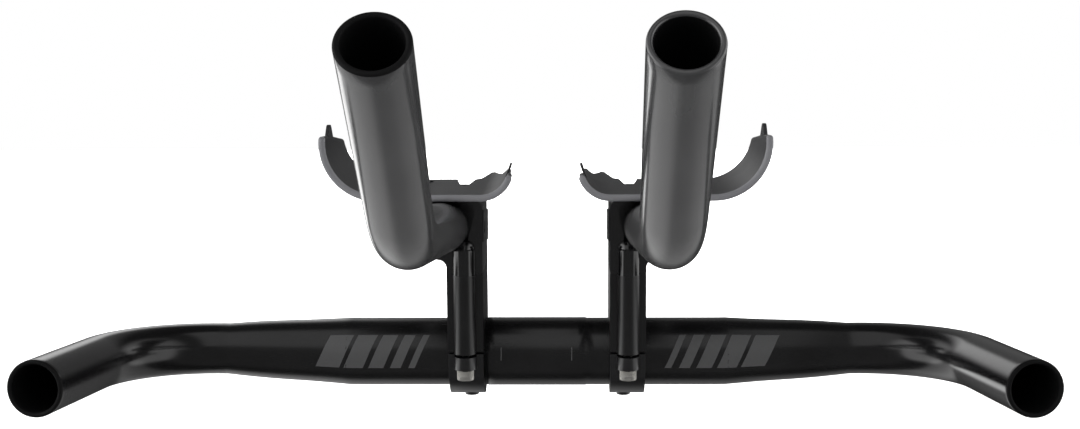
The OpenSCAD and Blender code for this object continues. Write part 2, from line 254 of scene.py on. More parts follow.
def black_and_shade_finish():
    """Matt near-black with saw marks for the bores and rims: the bar's own black dye, and painted shade
    in the extensions' bores and on their shaded rims.
    """
    material, shader, *_ = anodised_alloy(
        "dyed_black_and_shade", (0.002, 0.002, 0.0022), (0.004, 0.004, 0.0042), 0.6, 0.75, (1, 1, 1), 0.0)
    shader.inputs["Specular IOR Level"].default_value = 0.12
    return material


def bar_finish():
    """Gloss black horns, and a satin middle between the two finish lines."""
    material, shader, node, join, place, rough = anodised_alloy(
        "bar_black", (0.002, 0.002, 0.0022), (0.005, 0.005, 0.0053), 0.16, 0.24, (0.05, 1, 1), 0.0)
    finish_line = 148 * MM
    axes = node("SeparateXYZ")
    join(place.outputs["Object"], axes.inputs["Vector"])
    away = node("Math", operation="ABSOLUTE")
    join(axes.outputs["X"], away.inputs[0])
    middle = node("MapRange", interpolation_type="SMOOTHSTEP", From_Min=finish_line - 1 * MM,
                  From_Max=finish_line + 1 * MM, To_Min=0.06, To_Max=0.0)
    join(away.outputs["Value"], middle.inputs["Value"])
    total = node("Math", operation="ADD")
    join(rough.outputs["Result"], total.inputs[0])
    join(middle.outputs["Result"], total.inputs[1])
    join(total.outputs["Value"], shader.inputs["Roughness"])
    return material


# Near-black for bores and rims: dye on the bar, painted shade on the extensions.
dyed_black_and_shade = black_and_shade_finish()
base_bar = add_piece("base_bar_tube", base_bar_mesh(), bar_finish(), dyed_black_and_shade)
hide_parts("base_bar")
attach(base_bar, "root")


# Extensions
# Two bent alloy tubes, polished and anodised dark grey, open at both ends.
# Each slides through its bracket's ring, where grub screws hold it. The rims of the rider's right one are
# painted near-black as shade.
PAIR_SHIFT = 4.8 * MM
EXT_R = 11.1 * MM
EXT_WALL = 2.0 * MM
EXT_X = 46.25 * MM
EXT_Z = 59.3 * MM
EXT_RISE = math.radians(8.2)
EXT_TOE = math.radians(0.4)
EXT_FORE = 172.6 * MM
EXT_AFT = 52 * MM
EXT_BEND_R = 70 * MM
EXT_BEND = math.radians(31.9)
EXT_ROLL = math.radians(1.6)
EXT_GRIP = 87.2 * MM
SIDES = {"left": 1, "right": -1}


def to_side(sign):
    """The bracket pair's own place on the bar, mirrored for the rider's right."""
    return Matrix.Translation((PAIR_SHIFT, 0, 0)) @ Matrix.Scale(sign, 4, (1, 0, 0))


def clamped_run(sign):
    """The frame of an extension's clamped run, whose Z runs forward."""
    return (to_side(sign) @ Matrix.Translation((EXT_X, 0, EXT_Z))
            @ turn("X", math.pi / 2 - EXT_RISE) @ turn("Y", -EXT_TOE))


def extension_mesh(name, sign):
    def size(t):
        return EXT_R, EXT_R - EXT_WALL

    place = clamped_run(sign)
    out, place = straight_stations(
        place @ Matrix.Translation((0, 0, -EXT_AFT)), EXT_AFT + EXT_FORE, size, 8 * RING_STEP)
    place = place @ turn("Z", math.pi / 2 + EXT_ROLL)
    more, place = bend_stations(place, EXT_BEND_R, EXT_BEND, size, 1.5 * RING_STEP)
    out += more
    more, place = straight_stations(place, EXT_GRIP, size, 6 * RING_STEP)
    # The rider's right tube gets near-black rims: painted shade.
    return tube_mesh(name, out + more[1:], EXT_WALL * 0.4, shaded_rim=sign < 0)


grip_grey = anodised_alloy(
    "extension_grey", (0.028, 0.028, 0.029), (0.038, 0.038, 0.039), 0.2, 0.28, (1, 0.03, 0.1), 0.3)[0]
for side, sign in SIDES.items():
    shape = extension_mesh(side + "_extension_shell", sign)
    piece = add_piece(side + "_extension_tube", shape, grip_grey, dyed_black_and_shade)
    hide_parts(side + "_extension")
    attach(piece, "root")


# Brackets
# Forged alloy risers, one a side: post, ring round the extension, screw columns and cup table
# in one piece. Edges are broken, the upper part polished and the post left satin, all dyed black.
def softened_copy(name, node_name, width):
    """A merged copy of a CAD node with its edges rounded off, and its flat faces kept flat."""
    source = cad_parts[node_name]
    bm = bmesh.new()
    bm.from_mesh(source.data)
    bm.transform(source.matrix_world)
    bmesh.ops.remove_doubles(bm, verts=bm.verts, dist=0.002 * MM)
    bmesh.ops.dissolve_limit(
        bm, angle_limit=math.radians(0.6), verts=bm.verts, edges=bm.edges, delimit={"NORMAL"})
    holder = new_object(name + "_draft", drawn(bm, name))
    soft = holder.modifiers.new("edges", "BEVEL")
    soft.width = width
    soft.segments = 3
    soft.limit_method = "ANGLE"
    soft.angle_limit = math.radians(38)
    return plain_mesh(holder, name, 32)


def smoothed(mesh, sharp_angle):
    """Smooth shading, kept sharp at edges over that many degrees."""
    mesh.shade_smooth()
    mesh.set_sharp_from_angle(angle=math.radians(sharp_angle))
    return mesh


def plain_mesh(holder, name, sharp_angle):
    """The holder's shape, modifiers included, as a mesh of its own; the holder goes."""
    graph = bpy.context.evaluated_depsgraph_get()
    mesh = bpy.data.meshes.new_from_object(holder.evaluated_get(graph))
    mesh.name = name
    draft = holder.data
    bpy.data.objects.remove(holder)
    bpy.data.meshes.remove(draft)
    return smoothed(mesh, sharp_angle)


def bracket_finish():
    material, shader, node, join, place, rough = anodised_alloy(
        "bracket_black", (0.002, 0.002, 0.0023), (0.005, 0.005, 0.0055), 0.1, 0.2, (1, 1, 0.06), 0.3)
    polish_line = 41 * MM
    axes = node("SeparateXYZ")
    join(place.outputs["Object"], axes.inputs["Vector"])
    satin = 0.2
    below = node("MapRange", interpolation_type="SMOOTHSTEP", From_Min=polish_line - 0.4 * MM,
                 From_Max=polish_line + 0.4 * MM, To_Min=satin, To_Max=0.0)
    join(axes.outputs["Z"], below.inputs["Value"])
    total = node("Math", operation="ADD")
    join(rough.outputs["Result"], total.inputs[0])
    join(below.outputs["Result"], total.inputs[1])
    join(total.outputs["Value"], shader.inputs["Roughness"])
    coat = node("MapRange", From_Min=0.0, From_Max=satin, To_Min=0.3, To_Max=0.05)
    join(below.outputs["Result"], coat.inputs["Value"])
    join(coat.outputs["Result"], shader.inputs["Coat Weight"])
    return material


bracket_black = bracket_finish()
for side in SIDES:
    shape = softened_copy(side + "_riser_shell", side + "_bracket", 0.5 * MM)
    piece = add_piece(side + "_riser", shape, bracket_black)
    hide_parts(side + "_bracket")
    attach(piece, "root")


# Lower jaws
# Short forged straps under the bar, with an ear and a spot-faced hole for each screw.
# Dyed black like the brackets and left satin.
jaw_black = anodised_alloy(
    "jaw_black", (0.004, 0.004, 0.0045), (0.008, 0.008, 0.0085), 0.26, 0.38, (1, 0.06, 1), 0.1)[0]
for side in SIDES:
    shape = softened_copy(side + "_strap_shell", side + "_lower_jaw", 0.4 * MM)
    piece = add_piece(side + "_strap", shape, jaw_black)
    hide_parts(side + "_lower_jaw")
    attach(piece, "root")


# Jaw screws
# Bright plated steel socket screws up through the jaws into the columns, two a side.
# Heads are knurled on a fine pitch, the sockets broached and the shanks threaded.
SCREW_X = 37.0 * MM
COLUMN_Y = 22.0 * MM
EAR_BOTTOM = -2.7 * MM
HEAD_R = 3.8 * MM
HEAD_H = 5.6 * MM
SHANK_R = 2.5 * MM
SOCKET = 2.0 * MM
SOCKET_DEPTH = 0.55
THREAD_PITCH = 0.8 * MM
THREAD_DEPTH = 0.42 * MM
EDGE_BREAK = 0.35 * MM
KNURL_SINK = 0.12 * MM
SCREW_TOP = {"front": 52.4 * MM, "rear": 42.6 * MM}


def turned_mesh(name, rings):
    """A closed solid about Z: each ring is a height and a radius, which may depend on the angle."""
    sides = 48
    bm = bmesh.new()
    loops = []
    for height, radius in rings:
        loop = []
        for k in range(sides):
            a = 2 * math.pi * k / sides
            r = radius(a) if callable(radius) else radius
            loop.append(bm.verts.new((r * math.cos(a), r * math.sin(a), height)))
        loops.append(loop)
    for near, off in zip(loops, loops[1:]):
        for k in range(sides):
            j = (k + 1) % sides
            bm.faces.new((near[k], near[j], off[j], off[k]))
    for loop, height in ((loops[0], rings[0][0]), (loops[-1], rings[-1][0])):
        pole = bm.verts.new((0, 0, height))
        for k in range(sides):
            bm.faces.new((loop[k], loop[(k + 1) % sides], pole))
    bmesh.ops.recalc_face_normals(bm, faces=bm.faces)
    return smoothed(drawn(bm, name), 35)


def hexagon(apothem):
    """The radius of a hexagon as it changes with the angle."""
    def radius(a):
        return apothem / math.cos((a % (math.pi / 3)) - math.pi / 6)
    return radius


def thread_rings(root_r, crest_r, start, end):
    """Rings of a single-start thread, whose radius climbs with the angle."""
    pitch = THREAD_PITCH
    count = max(4, round((end - start) / (pitch * 0.16)))
    rings = []
    for i in range(count + 1):
        height = start + (end - start) * i / count
        fade = min(1.0, (end - height) / pitch, (height - start) / pitch)

        def radius(a, height=height, fade=fade):
            phase = (height / pitch - a / (2 * math.pi)) % 1.0
            groove = max(0.0, min(1.0, 1.35 * (abs(2 * phase - 1)) - 0.15))
            return crest_r - (crest_r - root_r) * groove * max(0.0, fade)
        rings.append((height, radius))
    return rings


def socket_rings(head_h, socket):
    """From the floor of a hex socket out to the rim, for a head that ends at -head_h."""
    return [
        (-head_h + SOCKET_DEPTH * head_h, socket * 0.35),
        (-head_h + SOCKET_DEPTH * head_h * 0.96, hexagon(socket * 0.97)),
        (-head_h + 0.35 * MM, hexagon(socket)),
        (-head_h + 0.3 * MM, lambda a: hexagon(socket)(a) * 1.01),
        (-head_h, socket * 1.12 * 1.08),
    ]


def cap_screw_mesh(name, length):
    """A socket head screw along +Z with the underside of its head at the origin."""
    brk = EDGE_BREAK
    rings = socket_rings(HEAD_H, SOCKET)
    rings += [(-HEAD_H, HEAD_R - brk * 1.6), (-HEAD_H + brk * 0.25, HEAD_R - brk * 0.7),
              (-HEAD_H + brk, HEAD_R - KNURL_SINK), (-brk * 1.4, HEAD_R - KNURL_SINK),
              (-brk * 0.8, HEAD_R - brk * 0.5), (0, HEAD_R - brk), (0, SHANK_R + 0.25 * MM),
              (0.25 * MM, SHANK_R)]
    rings += thread_rings(SHANK_R - THREAD_DEPTH, SHANK_R, 0.9 * MM, length - 0.5 * MM)
    rings += [(length, SHANK_R - 0.5 * MM)]
    return turned_mesh(name, rings)


def knurl_group():
    """Straight knurling: a rounded ridge along Z, repeated round a head."""
    group = bpy.data.node_groups.new("straight_knurl", "GeometryNodeTree")
    face = group.interface
    for label, way, kind in (
            ("Head radius", "INPUT", "Float"), ("Ridge radius", "INPUT", "Float"),
            ("Ridge length", "INPUT", "Float"), ("Middle", "INPUT", "Float"),
            ("Ridges", "INPUT", "Int"), ("Finish", "INPUT", "Material"),
            ("Geometry", "INPUT", "Geometry"), ("Geometry", "OUTPUT", "Geometry")):
        face.new_socket(label, in_out=way, socket_type="NodeSocket" + kind)
    made = group.nodes.new
    link = group.links.new
    given = made("NodeGroupInput")
    result = made("NodeGroupOutput")
    ring = made("GeometryNodeMeshCircle")
    link(given.outputs["Ridges"], ring.inputs["Vertices"])
    link(given.outputs["Head radius"], ring.inputs["Radius"])
    lift = made("ShaderNodeCombineXYZ")
    link(given.outputs["Middle"], lift.inputs["Z"])
    raised = made("GeometryNodeTransform")
    link(ring.outputs["Mesh"], raised.inputs["Geometry"])
    link(lift.outputs["Vector"], raised.inputs["Translation"])
    ridge = made("GeometryNodeMeshCylinder")
    ridge.inputs["Vertices"].default_value = 8
    link(given.outputs["Ridge radius"], ridge.inputs["Radius"])
    link(given.outputs["Ridge length"], ridge.inputs["Depth"])
    spread = made("GeometryNodeInstanceOnPoints")
    link(raised.outputs["Geometry"], spread.inputs["Points"])
    link(ridge.outputs["Mesh"], spread.inputs["Instance"])
    both = made("GeometryNodeJoinGeometry")
    link(given.outputs["Geometry"], both.inputs["Geometry"])
    link(spread.outputs["Instances"], both.inputs["Geometry"])
    real = made("GeometryNodeRealizeInstances")
    link(both.outputs["Geometry"], real.inputs["Geometry"])
    paint = made("GeometryNodeSetMaterial")
    link(real.outputs["Geometry"], paint.inputs["Geometry"])
    link(given.outputs["Finish"], paint.inputs["Material"])
    link(paint.outputs["Geometry"], result.inputs["Geometry"])
    return group


def run_nodes(name, mesh, group, values, sharp_angle):
    """The mesh after a node group whose inputs have been set by name."""
    holder = new_object(name + "_draft", mesh)
    step = holder.modifiers.new("repeat", "NODES")
    step.node_group = group
    for item in group.interface.items_tree:
        if item.item_type == "SOCKET" and item.in_out == "INPUT" and item.name in values:
            step[item.identifier] = values[item.name]
    return plain_mesh(holder, name, sharp_angle)


def plated_steel(name, colour, low_rough, high_rough):
    """Nickel-plated steel: turning marks round the axis and faint stains."""
    material, shader, node, join = new_material(name)
    place = node("TexCoord")
    marks_map = node("Mapping", Scale=(0.2, 0.2, 1))
    join(place.outputs["Object"], marks_map.inputs["Vector"])
    marks = node("TexNoise", Scale=4200.0, Detail=2.0)
    join(marks_map.outputs["Vector"], marks.inputs["Vector"])
    stain = node("TexNoise", Scale=260.0, Detail=4.0)
    join(place.outputs["Object"], stain.inputs["Vector"])
    rough = node("MapRange", To_Min=low_rough, To_Max=high_rough)
    join(stain.outputs["Fac"], rough.inputs["Value"])
    join(rough.outputs["Result"], shader.inputs["Roughness"])
    tint = node("ValToRGB")
    tint.color_ramp.elements[0].color = (*[c * 0.82 for c in colour], 1)
    tint.color_ramp.elements[1].color = (*colour, 1)
    join(stain.outputs["Fac"], tint.inputs["Fac"])
    join(tint.outputs["Color"], shader.inputs["Base Color"])
    relief = node("Bump", Strength=0.12, Distance=0.02 * MM)
    join(marks.outputs["Fac"], relief.inputs["Height"])
    join(relief.outputs["Normal"], shader.inputs["Normal"])
    shader.inputs["Metallic"].default_value = 1.0
    return material


bright_steel = plated_steel("bright_steel", (0.5, 0.49, 0.46), 0.12, 0.22)
knurl = knurl_group()
ENDS = {"front": -1, "rear": 1}


def placed(mesh, place):
    mesh.transform(place)
    if place.determinant() < 0:
        mesh.flip_normals()
    return mesh


for side, sign in SIDES.items():
    for end, way in ENDS.items():
        name = side + "_" + end + "_jaw_bolt"
        shape = cap_screw_mesh(name + "_turned", SCREW_TOP[end] - EAR_BOTTOM)
        shape = run_nodes(name + "_shell", shape, knurl, {
            "Head radius": HEAD_R - KNURL_SINK, "Ridge radius": 0.11 * MM,
            "Ridge length": HEAD_H - 1.3 * MM, "Middle": -HEAD_H / 2, "Ridges": 54,
            "Finish": bright_steel}, 50)
        spot = Matrix.Translation((PAIR_SHIFT + sign * SCREW_X, way * COLUMN_Y, EAR_BOTTOM))
        piece = add_piece(name, placed(shape, spot), bright_steel)
        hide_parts(side + "_" + end + "_jaw_screw")
        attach(piece, "root")


# Grub screws
# Blackened set screws, two a side, turned in through the bracket's inner face onto the extension.
GRUB_R = 3.0 * MM
GRUB_Y = 11.0 * MM
GRUB_THREAD = 0.4 * MM
POST_X = 28.8 * MM
PAD_T = 0.6 * MM
GRUB_SUNK = 1.2 * MM
GRUB_OUTER = EXT_X - POST_X + PAD_T - GRUB_SUNK


def grub_mesh(name):
    """Its tip bears on the tube and its socket faces out, along +Z."""
    rings = [(EXT_R, GRUB_R * 0.55), (EXT_R + 0.45 * MM, GRUB_R - 0.45 * MM)]
    rings += thread_rings(
        GRUB_R - GRUB_THREAD, GRUB_R, EXT_R + 0.5 * MM, GRUB_OUTER - EDGE_BREAK)
    rings += [(GRUB_OUTER, GRUB_R - GRUB_THREAD), (GRUB_OUTER, 1.95 * MM),
              (GRUB_OUTER - 0.25 * MM, hexagon(1.7 * MM)), (GRUB_OUTER - 2.6 * MM, hexagon(1.66 * MM)),
              (GRUB_OUTER - 3.0 * MM, 0.6 * MM)]
    return turned_mesh(name, rings)


dark_steel = plated_steel("dark_steel", (0.05, 0.05, 0.052), 0.24, 0.4)
for side, sign in SIDES.items():
    for end, way in ENDS.items():
        name = side + "_" + end + "_set_screw"
        spot = clamped_run(sign) @ Matrix.Translation((0, 0, -way * GRUB_Y)) @ turn("Y", -math.pi / 2)
        piece = add_piece(name, placed(grub_mesh(name + "_shell"), spot), dark_steel)
        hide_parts(side + "_" + end + "_grub_screw")
        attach(piece, "root")


# Arm cups
# Injection-moulded shells: a flat floor, a low inner wing, a high outer one and a bead along the
# front edge, in one with the tongue and the blade. Black glass-filled nylon with a fine spark grain.
TABLE_Z = 76.3 * MM
CUP_T = 2.3 * MM
CUP_FRONT = 35.0 * MM
CUP_REAR = 22.0 * MM
FLAT_IN = 28.6 * MM
FLAT_OUT = 74.0 * MM
OUTER_R = 25.0 * MM
INNER_R = 14.5 * MM
OUTER_TOP = TABLE_Z + 28.8 * MM
INNER_TOP = TABLE_Z + 10.7 * MM
BEAD_R = 1.5 * MM
SLOT_X = 60.0 * MM
SLOT_Y = 12.0 * MM
SLOT_W = 5.6 * MM
SLOT_TRAVEL = 8.0 * MM


def along(points, t):
    """A value read off a broken line of (position, value) points."""
    if t <= points[0][0]:
        return points[0][1]
    for (t0, v0), (t1, v1) in zip(points, points[1:]):
        if t <= t1:
            return v0 + (v1 - v0) * (t - t0) / (t1 - t0)
    return points[-1][1]


OUTER_EDGE = [(-35 * MM, OUTER_TOP - 0.8 * MM), (-33 * MM, OUTER_TOP),
              (-21 * MM, OUTER_TOP - 1.1 * MM), (-5 * MM, OUTER_TOP - 3.1 * MM),
              (20.5 * MM, OUTER_TOP - 7.1 * MM), (22 * MM, OUTER_TOP - 8.7 * MM)]
INNER_EDGE = [(-35 * MM, INNER_TOP - 1 * MM), (-33 * MM, INNER_TOP), (-23 * MM, INNER_TOP),
              (-19 * MM, INNER_TOP - 3.2 * MM), (52 * MM, INNER_TOP - 5.2 * MM)]
REAR_EDGE = [(x * MM, y * MM) for x, y in (
    (10, 18), (19.5, 26), (24, 47), (26, 47), (30.5, 25), (33, 22), (35.2, 1), (36.6, -1),
    (38.4, 0.5), (41.8, 22), (100, 22))]


def cup_section(s):
    """A point on the underside at s along the section, and the way from there into the shell."""
    flat = FLAT_OUT - FLAT_IN
    if s < 0:
        start, bend_r, a = FLAT_IN, INNER_R, s / INNER_R
    elif s > flat:
        start, bend_r, a = FLAT_OUT, OUTER_R, (s - flat) / OUTER_R
    else:
        return (FLAT_IN + s, TABLE_Z), (0, 1)
    point = (start + bend_r * math.sin(a), TABLE_Z + bend_r * (1 - math.cos(a)))
    return point, (-math.sin(a), math.cos(a))


def section_end(y, outer):
    """How far along the section a wing reaches at that y."""
    if outer:
        rise = along(OUTER_EDGE, y) - TABLE_Z
        if rise < OUTER_R:
            return FLAT_OUT - FLAT_IN + OUTER_R * math.acos(1 - rise / OUTER_R)
        return FLAT_OUT - FLAT_IN + OUTER_R * (math.pi / 2 + math.asin((rise - OUTER_R) / OUTER_R))
    rise = along(INNER_EDGE, y) - TABLE_Z
    return -INNER_R * math.acos(1 - rise / INNER_R)


def cup_loop(u, shrink):
    """One closed loop round the shell's thickness, at u across the cup.

    It runs along the underside, round the bead, back along the inside and round the rear rim.
    """
    y_steps, bead_steps, rim_steps = 44, 14, 6
    half = CUP_T / 2
    low, high = section_end(CUP_REAR, False), section_end(CUP_REAR, True)
    rear = along(REAR_EDGE, cup_section(low + u * (high - low))[0][0])
    bead_y = -CUP_FRONT + BEAD_R
    joint = math.asin(half / BEAD_R)
    front = bead_y + BEAD_R * math.cos(joint)
    back = rear - half
    course = [(back + (front - back) * i / y_steps, 0.0) for i in range(y_steps)]
    for i in range(bead_steps + 1):
        a = joint + (2 * math.pi - 2 * joint) * i / bead_steps
        course.append((bead_y + BEAD_R * math.cos(a) * shrink, half - BEAD_R * math.sin(a)))
    course += [(front + (back - front) * i / y_steps, CUP_T) for i in range(1, y_steps + 1)]
    for i in range(1, rim_steps):
        a = math.pi / 2 - math.pi * i / rim_steps
        course.append((back + half * math.cos(a), half + half * math.sin(a)))
    out = []
    for y, depth in course:
        low, high = section_end(y, False) + half, section_end(y, True) - half
        extra = half * math.sqrt(max(0.0, 1 - shrink ** 2))
        s = low + u * (high - low) + (extra if u > 0.5 else -extra)
        (x, z), (nx, nz) = cup_section(s)
        d = half + (depth - half) * shrink
        out.append(Vector((x + nx * d, y, z + nz * d)))
    return out


def cup_shell(name):
    """The shell as loops across the cup, close together where its rear edge has corners."""
    low, high = section_end(CUP_REAR, False), section_end(CUP_REAR, True)
    even, tries = 70, 2000
    stops = set(i / even for i in range(even + 1))
    for x, _ in REAR_EDGE:
        miss, at = min(
            (abs(cup_section(low + k / tries * (high - low))[0][0] - x), k / tries)
            for k in range(tries + 1))
        if miss < 0.2 * MM:
            stops.update(min(1.0, max(0.0, at + nudge)) for nudge in (-0.004, 0, 0.004))
    kept = []
    for u in sorted(stops):
        if not kept or u - kept[-1] > 0.0015:
            kept.append(u)
    rounding = [math.cos(math.radians(a)) for a in (78, 55, 28)]
    loops = [cup_loop(0.0, c) for c in rounding]
    loops += [cup_loop(u, 1.0) for u in kept]
    loops += [cup_loop(1.0, c) for c in reversed(rounding)]
    bm = bmesh.new()
    rows = [[bm.verts.new(p) for p in loop] for loop in loops]
    count = len(rows[0])
    for near, off in zip(rows, rows[1:]):
        for k in range(count):
            j = (k + 1) % count
            bm.faces.new((near[k], near[j], off[j], off[k]))
    for row in (rows[0], rows[-1]):
        bm.faces.new(row)
    caps = [f for f in bm.faces if len(f.verts) > 4]
    bmesh.ops.triangulate(bm, faces=caps)
    bmesh.ops.recalc_face_normals(bm, faces=bm.faces)
    return drawn(bm, name)


def slab_mesh(name, outline, thickness, place, soft):
    """A flat outline given a thickness along +Z, with rounded edges."""
    bm = bmesh.new()
    low = [bm.verts.new((x, y, 0)) for x, y in outline]
    high = [bm.verts.new((x, y, thickness)) for x, y in outline]
    bm.faces.new(low)
    bm.faces.new(high)
    for k in range(len(outline)):
        j = (k + 1) % len(outline)
        bm.faces.new((low[k], low[j], high[j], high[k]))
    bmesh.ops.recalc_face_normals(bm, faces=bm.faces)
    bmesh.ops.bevel(bm, geom=list(bm.edges), offset=soft, segments=3, profile=0.5,
                    affect="EDGES", clamp_overlap=True)
    bm.transform(place)
    return drawn(bm, name)


def slot_outline():
    steps = 12
    out = []
    for end, start in ((1, -math.pi / 2), (-1, math.pi / 2)):
        for i in range(steps + 1):
            a = start + math.pi * i / steps
            out.append((end * SLOT_TRAVEL / 2 + SLOT_W / 2 * math.cos(a), SLOT_W / 2 * math.sin(a)))
    return out


def cup_mesh(name, sign):
    """The shell with its tongue and blade joined on and its two slots cut, on the side it serves."""
    holder = new_object(name + "_draft", cup_shell(name + "_form"))
    upright = Matrix(((0, 0, 1, 0), (1, 0, 0, 0), (0, 1, 0, 0), (0, 0, 0, 1)))
    tongue_at = Matrix.Translation((FLAT_OUT + OUTER_R - CUP_T + 0.05 * MM, 0, 0)) @ upright
    tongue = slab_mesh(
        name + "_tongue",
        [(y * MM, OUTER_TOP + z * MM) for y, z in (
            (-20.6, -6), (-7.2, -6), (-8, -2.7), (-12.2, 2.2), (-13.4, 3.1), (-15, 3.1),
            (-16.4, 2.2), (-20, -1.2))],
        CUP_T - 0.4 * MM, tongue_at, 0.45 * MM)
    blade_t = 1.1 * MM
    blade_at = (Matrix.Translation((18.2 * MM, 0, INNER_TOP - 3.6 * MM))
                @ turn("Y", math.radians(-20)) @ Matrix.Translation((-blade_t / 2, 0, 0)) @ upright)
    blade = slab_mesh(
        name + "_blade",
        [(y * MM, z * MM) for y, z in ((-16.9, -1), (-9.1, -1), (-9.6, 7.3), (-16.4, 7.3))],
        blade_t, blade_at, 0.3 * MM)
    tools = [(tongue, "UNION"), (blade, "UNION")]
    for way in ENDS.values():
        slot_at = Matrix.Translation((SLOT_X, way * SLOT_Y, TABLE_Z - 3 * MM))
        slot = slab_mesh(name + "_slot", slot_outline(), 8 * MM, slot_at, 0.01 * MM)
        tools.append((slot, "DIFFERENCE"))
    helpers = []
    for part, action in tools:
        tool = new_object(part.name, part)
        helpers.append(tool)
        step = holder.modifiers.new(part.name, "BOOLEAN")
        step.object = tool
        step.operation = action
        step.solver = "EXACT"
    mesh = plain_mesh(holder, name, 40)
    for tool in helpers:
        form = tool.data
        bpy.data.objects.remove(tool)
        bpy.data.meshes.remove(form)
    return placed(mesh, to_side(sign))


def moulded_nylon():
    """Spark-eroded grain over black nylon, flow marks that change the gloss, and a painted highlight
    along the bead.
    """
    material, shader, node, join = new_material("cup_nylon")
    place = node("TexCoord")
    grain = node("TexNoise", Scale=2600.0, Detail=5.0, Roughness=0.65)
    join(place.outputs["Object"], grain.inputs["Vector"])
    flow = node("TexNoise", Scale=30.0, Detail=3.0, Distortion=0.8)
    join(place.outputs["Object"], flow.inputs["Vector"])
    tint = node("ValToRGB")
    tint.color_ramp.elements[0].color = (0.013, 0.013, 0.014, 1)
    tint.color_ramp.elements[1].color = (0.022, 0.022, 0.023, 1)
    join(flow.outputs["Fac"], tint.inputs["Fac"])
    axes = node("SeparateXYZ")
    join(place.outputs["Object"], axes.inputs["Vector"])
    # Painted highlight: the base colour along the front bead is raised up to nine times.
    bead_back = -CUP_FRONT + 2 * BEAD_R
    bead_highlight = node("MapRange", From_Min=bead_back + 0.3 * MM, From_Max=bead_back - 0.3 * MM,
                  To_Min=1.0, To_Max=9.0)
    join(axes.outputs["Y"], bead_highlight.inputs["Value"])
    paler = node("HueSaturation")
    join(tint.outputs["Color"], paler.inputs["Color"])
    join(bead_highlight.outputs["Result"], paler.inputs["Value"])
    join(paler.outputs["Color"], shader.inputs["Base Color"])
    rough = node("MapRange", To_Min=0.45, To_Max=0.6)
    join(flow.outputs["Fac"], rough.inputs["Value"])
    join(rough.outputs["Result"], shader.inputs["Roughness"])
    relief = node("Bump", Strength=0.25, Distance=0.04 * MM)
    join(grain.outputs["Fac"], relief.inputs["Height"])
    join(relief.outputs["Normal"], shader.inputs["Normal"])
    shader.inputs["Specular IOR Level"].default_value = 0.25
    return material


cup_nylon = moulded_nylon()
for side, sign in SIDES.items():
    piece = add_piece(side + "_cup", cup_mesh(side + "_cup_shell", sign), cup_nylon)
    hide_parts(side + "_arm_cup")
    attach(piece, "root")


# Cup washers and screws
# A stamped washer and a blackened low-head screw hold each cup on its table through a slot.
WASHER_R = 5.0 * MM
WASHER_T = 1.0 * MM
CUP_FLOOR = TABLE_Z + CUP_T
CUP_HEAD_R = 4.75 * MM
CUP_HEAD_H = 2.7 * MM
CUP_SOCKET = 1.6 * MM
CUP_SHANK = 12 * MM


def washer_mesh(name):
    """Flat, with the rolled upper edge and sharp lower one of a stamping."""
    hole = 2.75 * MM
    course = [(hole, 0.12), (hole, 0.85), (hole + 0.15 * MM, 1), (WASHER_R - 0.3 * MM, 1),
              (WASHER_R - 0.08 * MM, 0.88), (WASHER_R, 0.65), (WASHER_R, 0.05), (WASHER_R - 0.05 * MM, 0),
              (hole + 0.12 * MM, 0)]
    sides = 64
    bm = bmesh.new()
    loops = []
    for k in range(sides):
        a = 2 * math.pi * k / sides
        loops.append([bm.verts.new((r * math.cos(a), r * math.sin(a), t * WASHER_T)) for r, t in course])
    for near, off in zip(loops, loops[1:] + loops[:1]):
        for k in range(len(course)):
            j = (k + 1) % len(course)
            bm.faces.new((near[k], near[j], off[j], off[k]))
    bmesh.ops.recalc_face_normals(bm, faces=bm.faces)
    return smoothed(drawn(bm, name), 35)


def low_head_mesh(name):
    """A low domed head with a hex socket, and a threaded shank along +Z from under it."""
    rings = socket_rings(CUP_HEAD_H, CUP_SOCKET)
    rings += [(-CUP_HEAD_H, CUP_HEAD_R * 0.55), (-CUP_HEAD_H * 0.93, CUP_HEAD_R * 0.72),
              (-CUP_HEAD_H * 0.78, CUP_HEAD_R * 0.88), (-CUP_HEAD_H * 0.55, CUP_HEAD_R * 0.965),
              (-CUP_HEAD_H * 0.3, CUP_HEAD_R), (-0.15 * MM, CUP_HEAD_R), (0, CUP_HEAD_R - 0.15 * MM),
              (0, SHANK_R + 0.2 * MM), (0.2 * MM, SHANK_R)]
    rings += thread_rings(SHANK_R - THREAD_DEPTH, SHANK_R, 0.8 * MM, CUP_SHANK - 0.4 * MM)
    rings += [(CUP_SHANK, SHANK_R - 0.5 * MM)]
    return turned_mesh(name, rings)


washer_steel = plated_steel("washer_steel", (0.5, 0.5, 0.49), 0.22, 0.36)
for side, sign in SIDES.items():
    for end, way in ENDS.items():
        spot = Matrix.Translation((PAIR_SHIFT + sign * SLOT_X, way * SLOT_Y, CUP_FLOOR))
        name = side + "_" + end + "_cup_disc"
        piece = add_piece(name, placed(washer_mesh(name + "_shell"), spot), washer_steel)
        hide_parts(side + "_" + end + "_cup_washer")
        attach(piece, "root")
        name = side + "_" + end + "_cup_bolt"
        down = spot @ Matrix.Translation((0, 0, WASHER_T)) @ turn("X", math.pi)
        piece = add_piece(name, placed(low_head_mesh(name + "_shell"), down), dark_steel)
        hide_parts(side + "_" + end + "_cup_screw")
        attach(piece, "root")


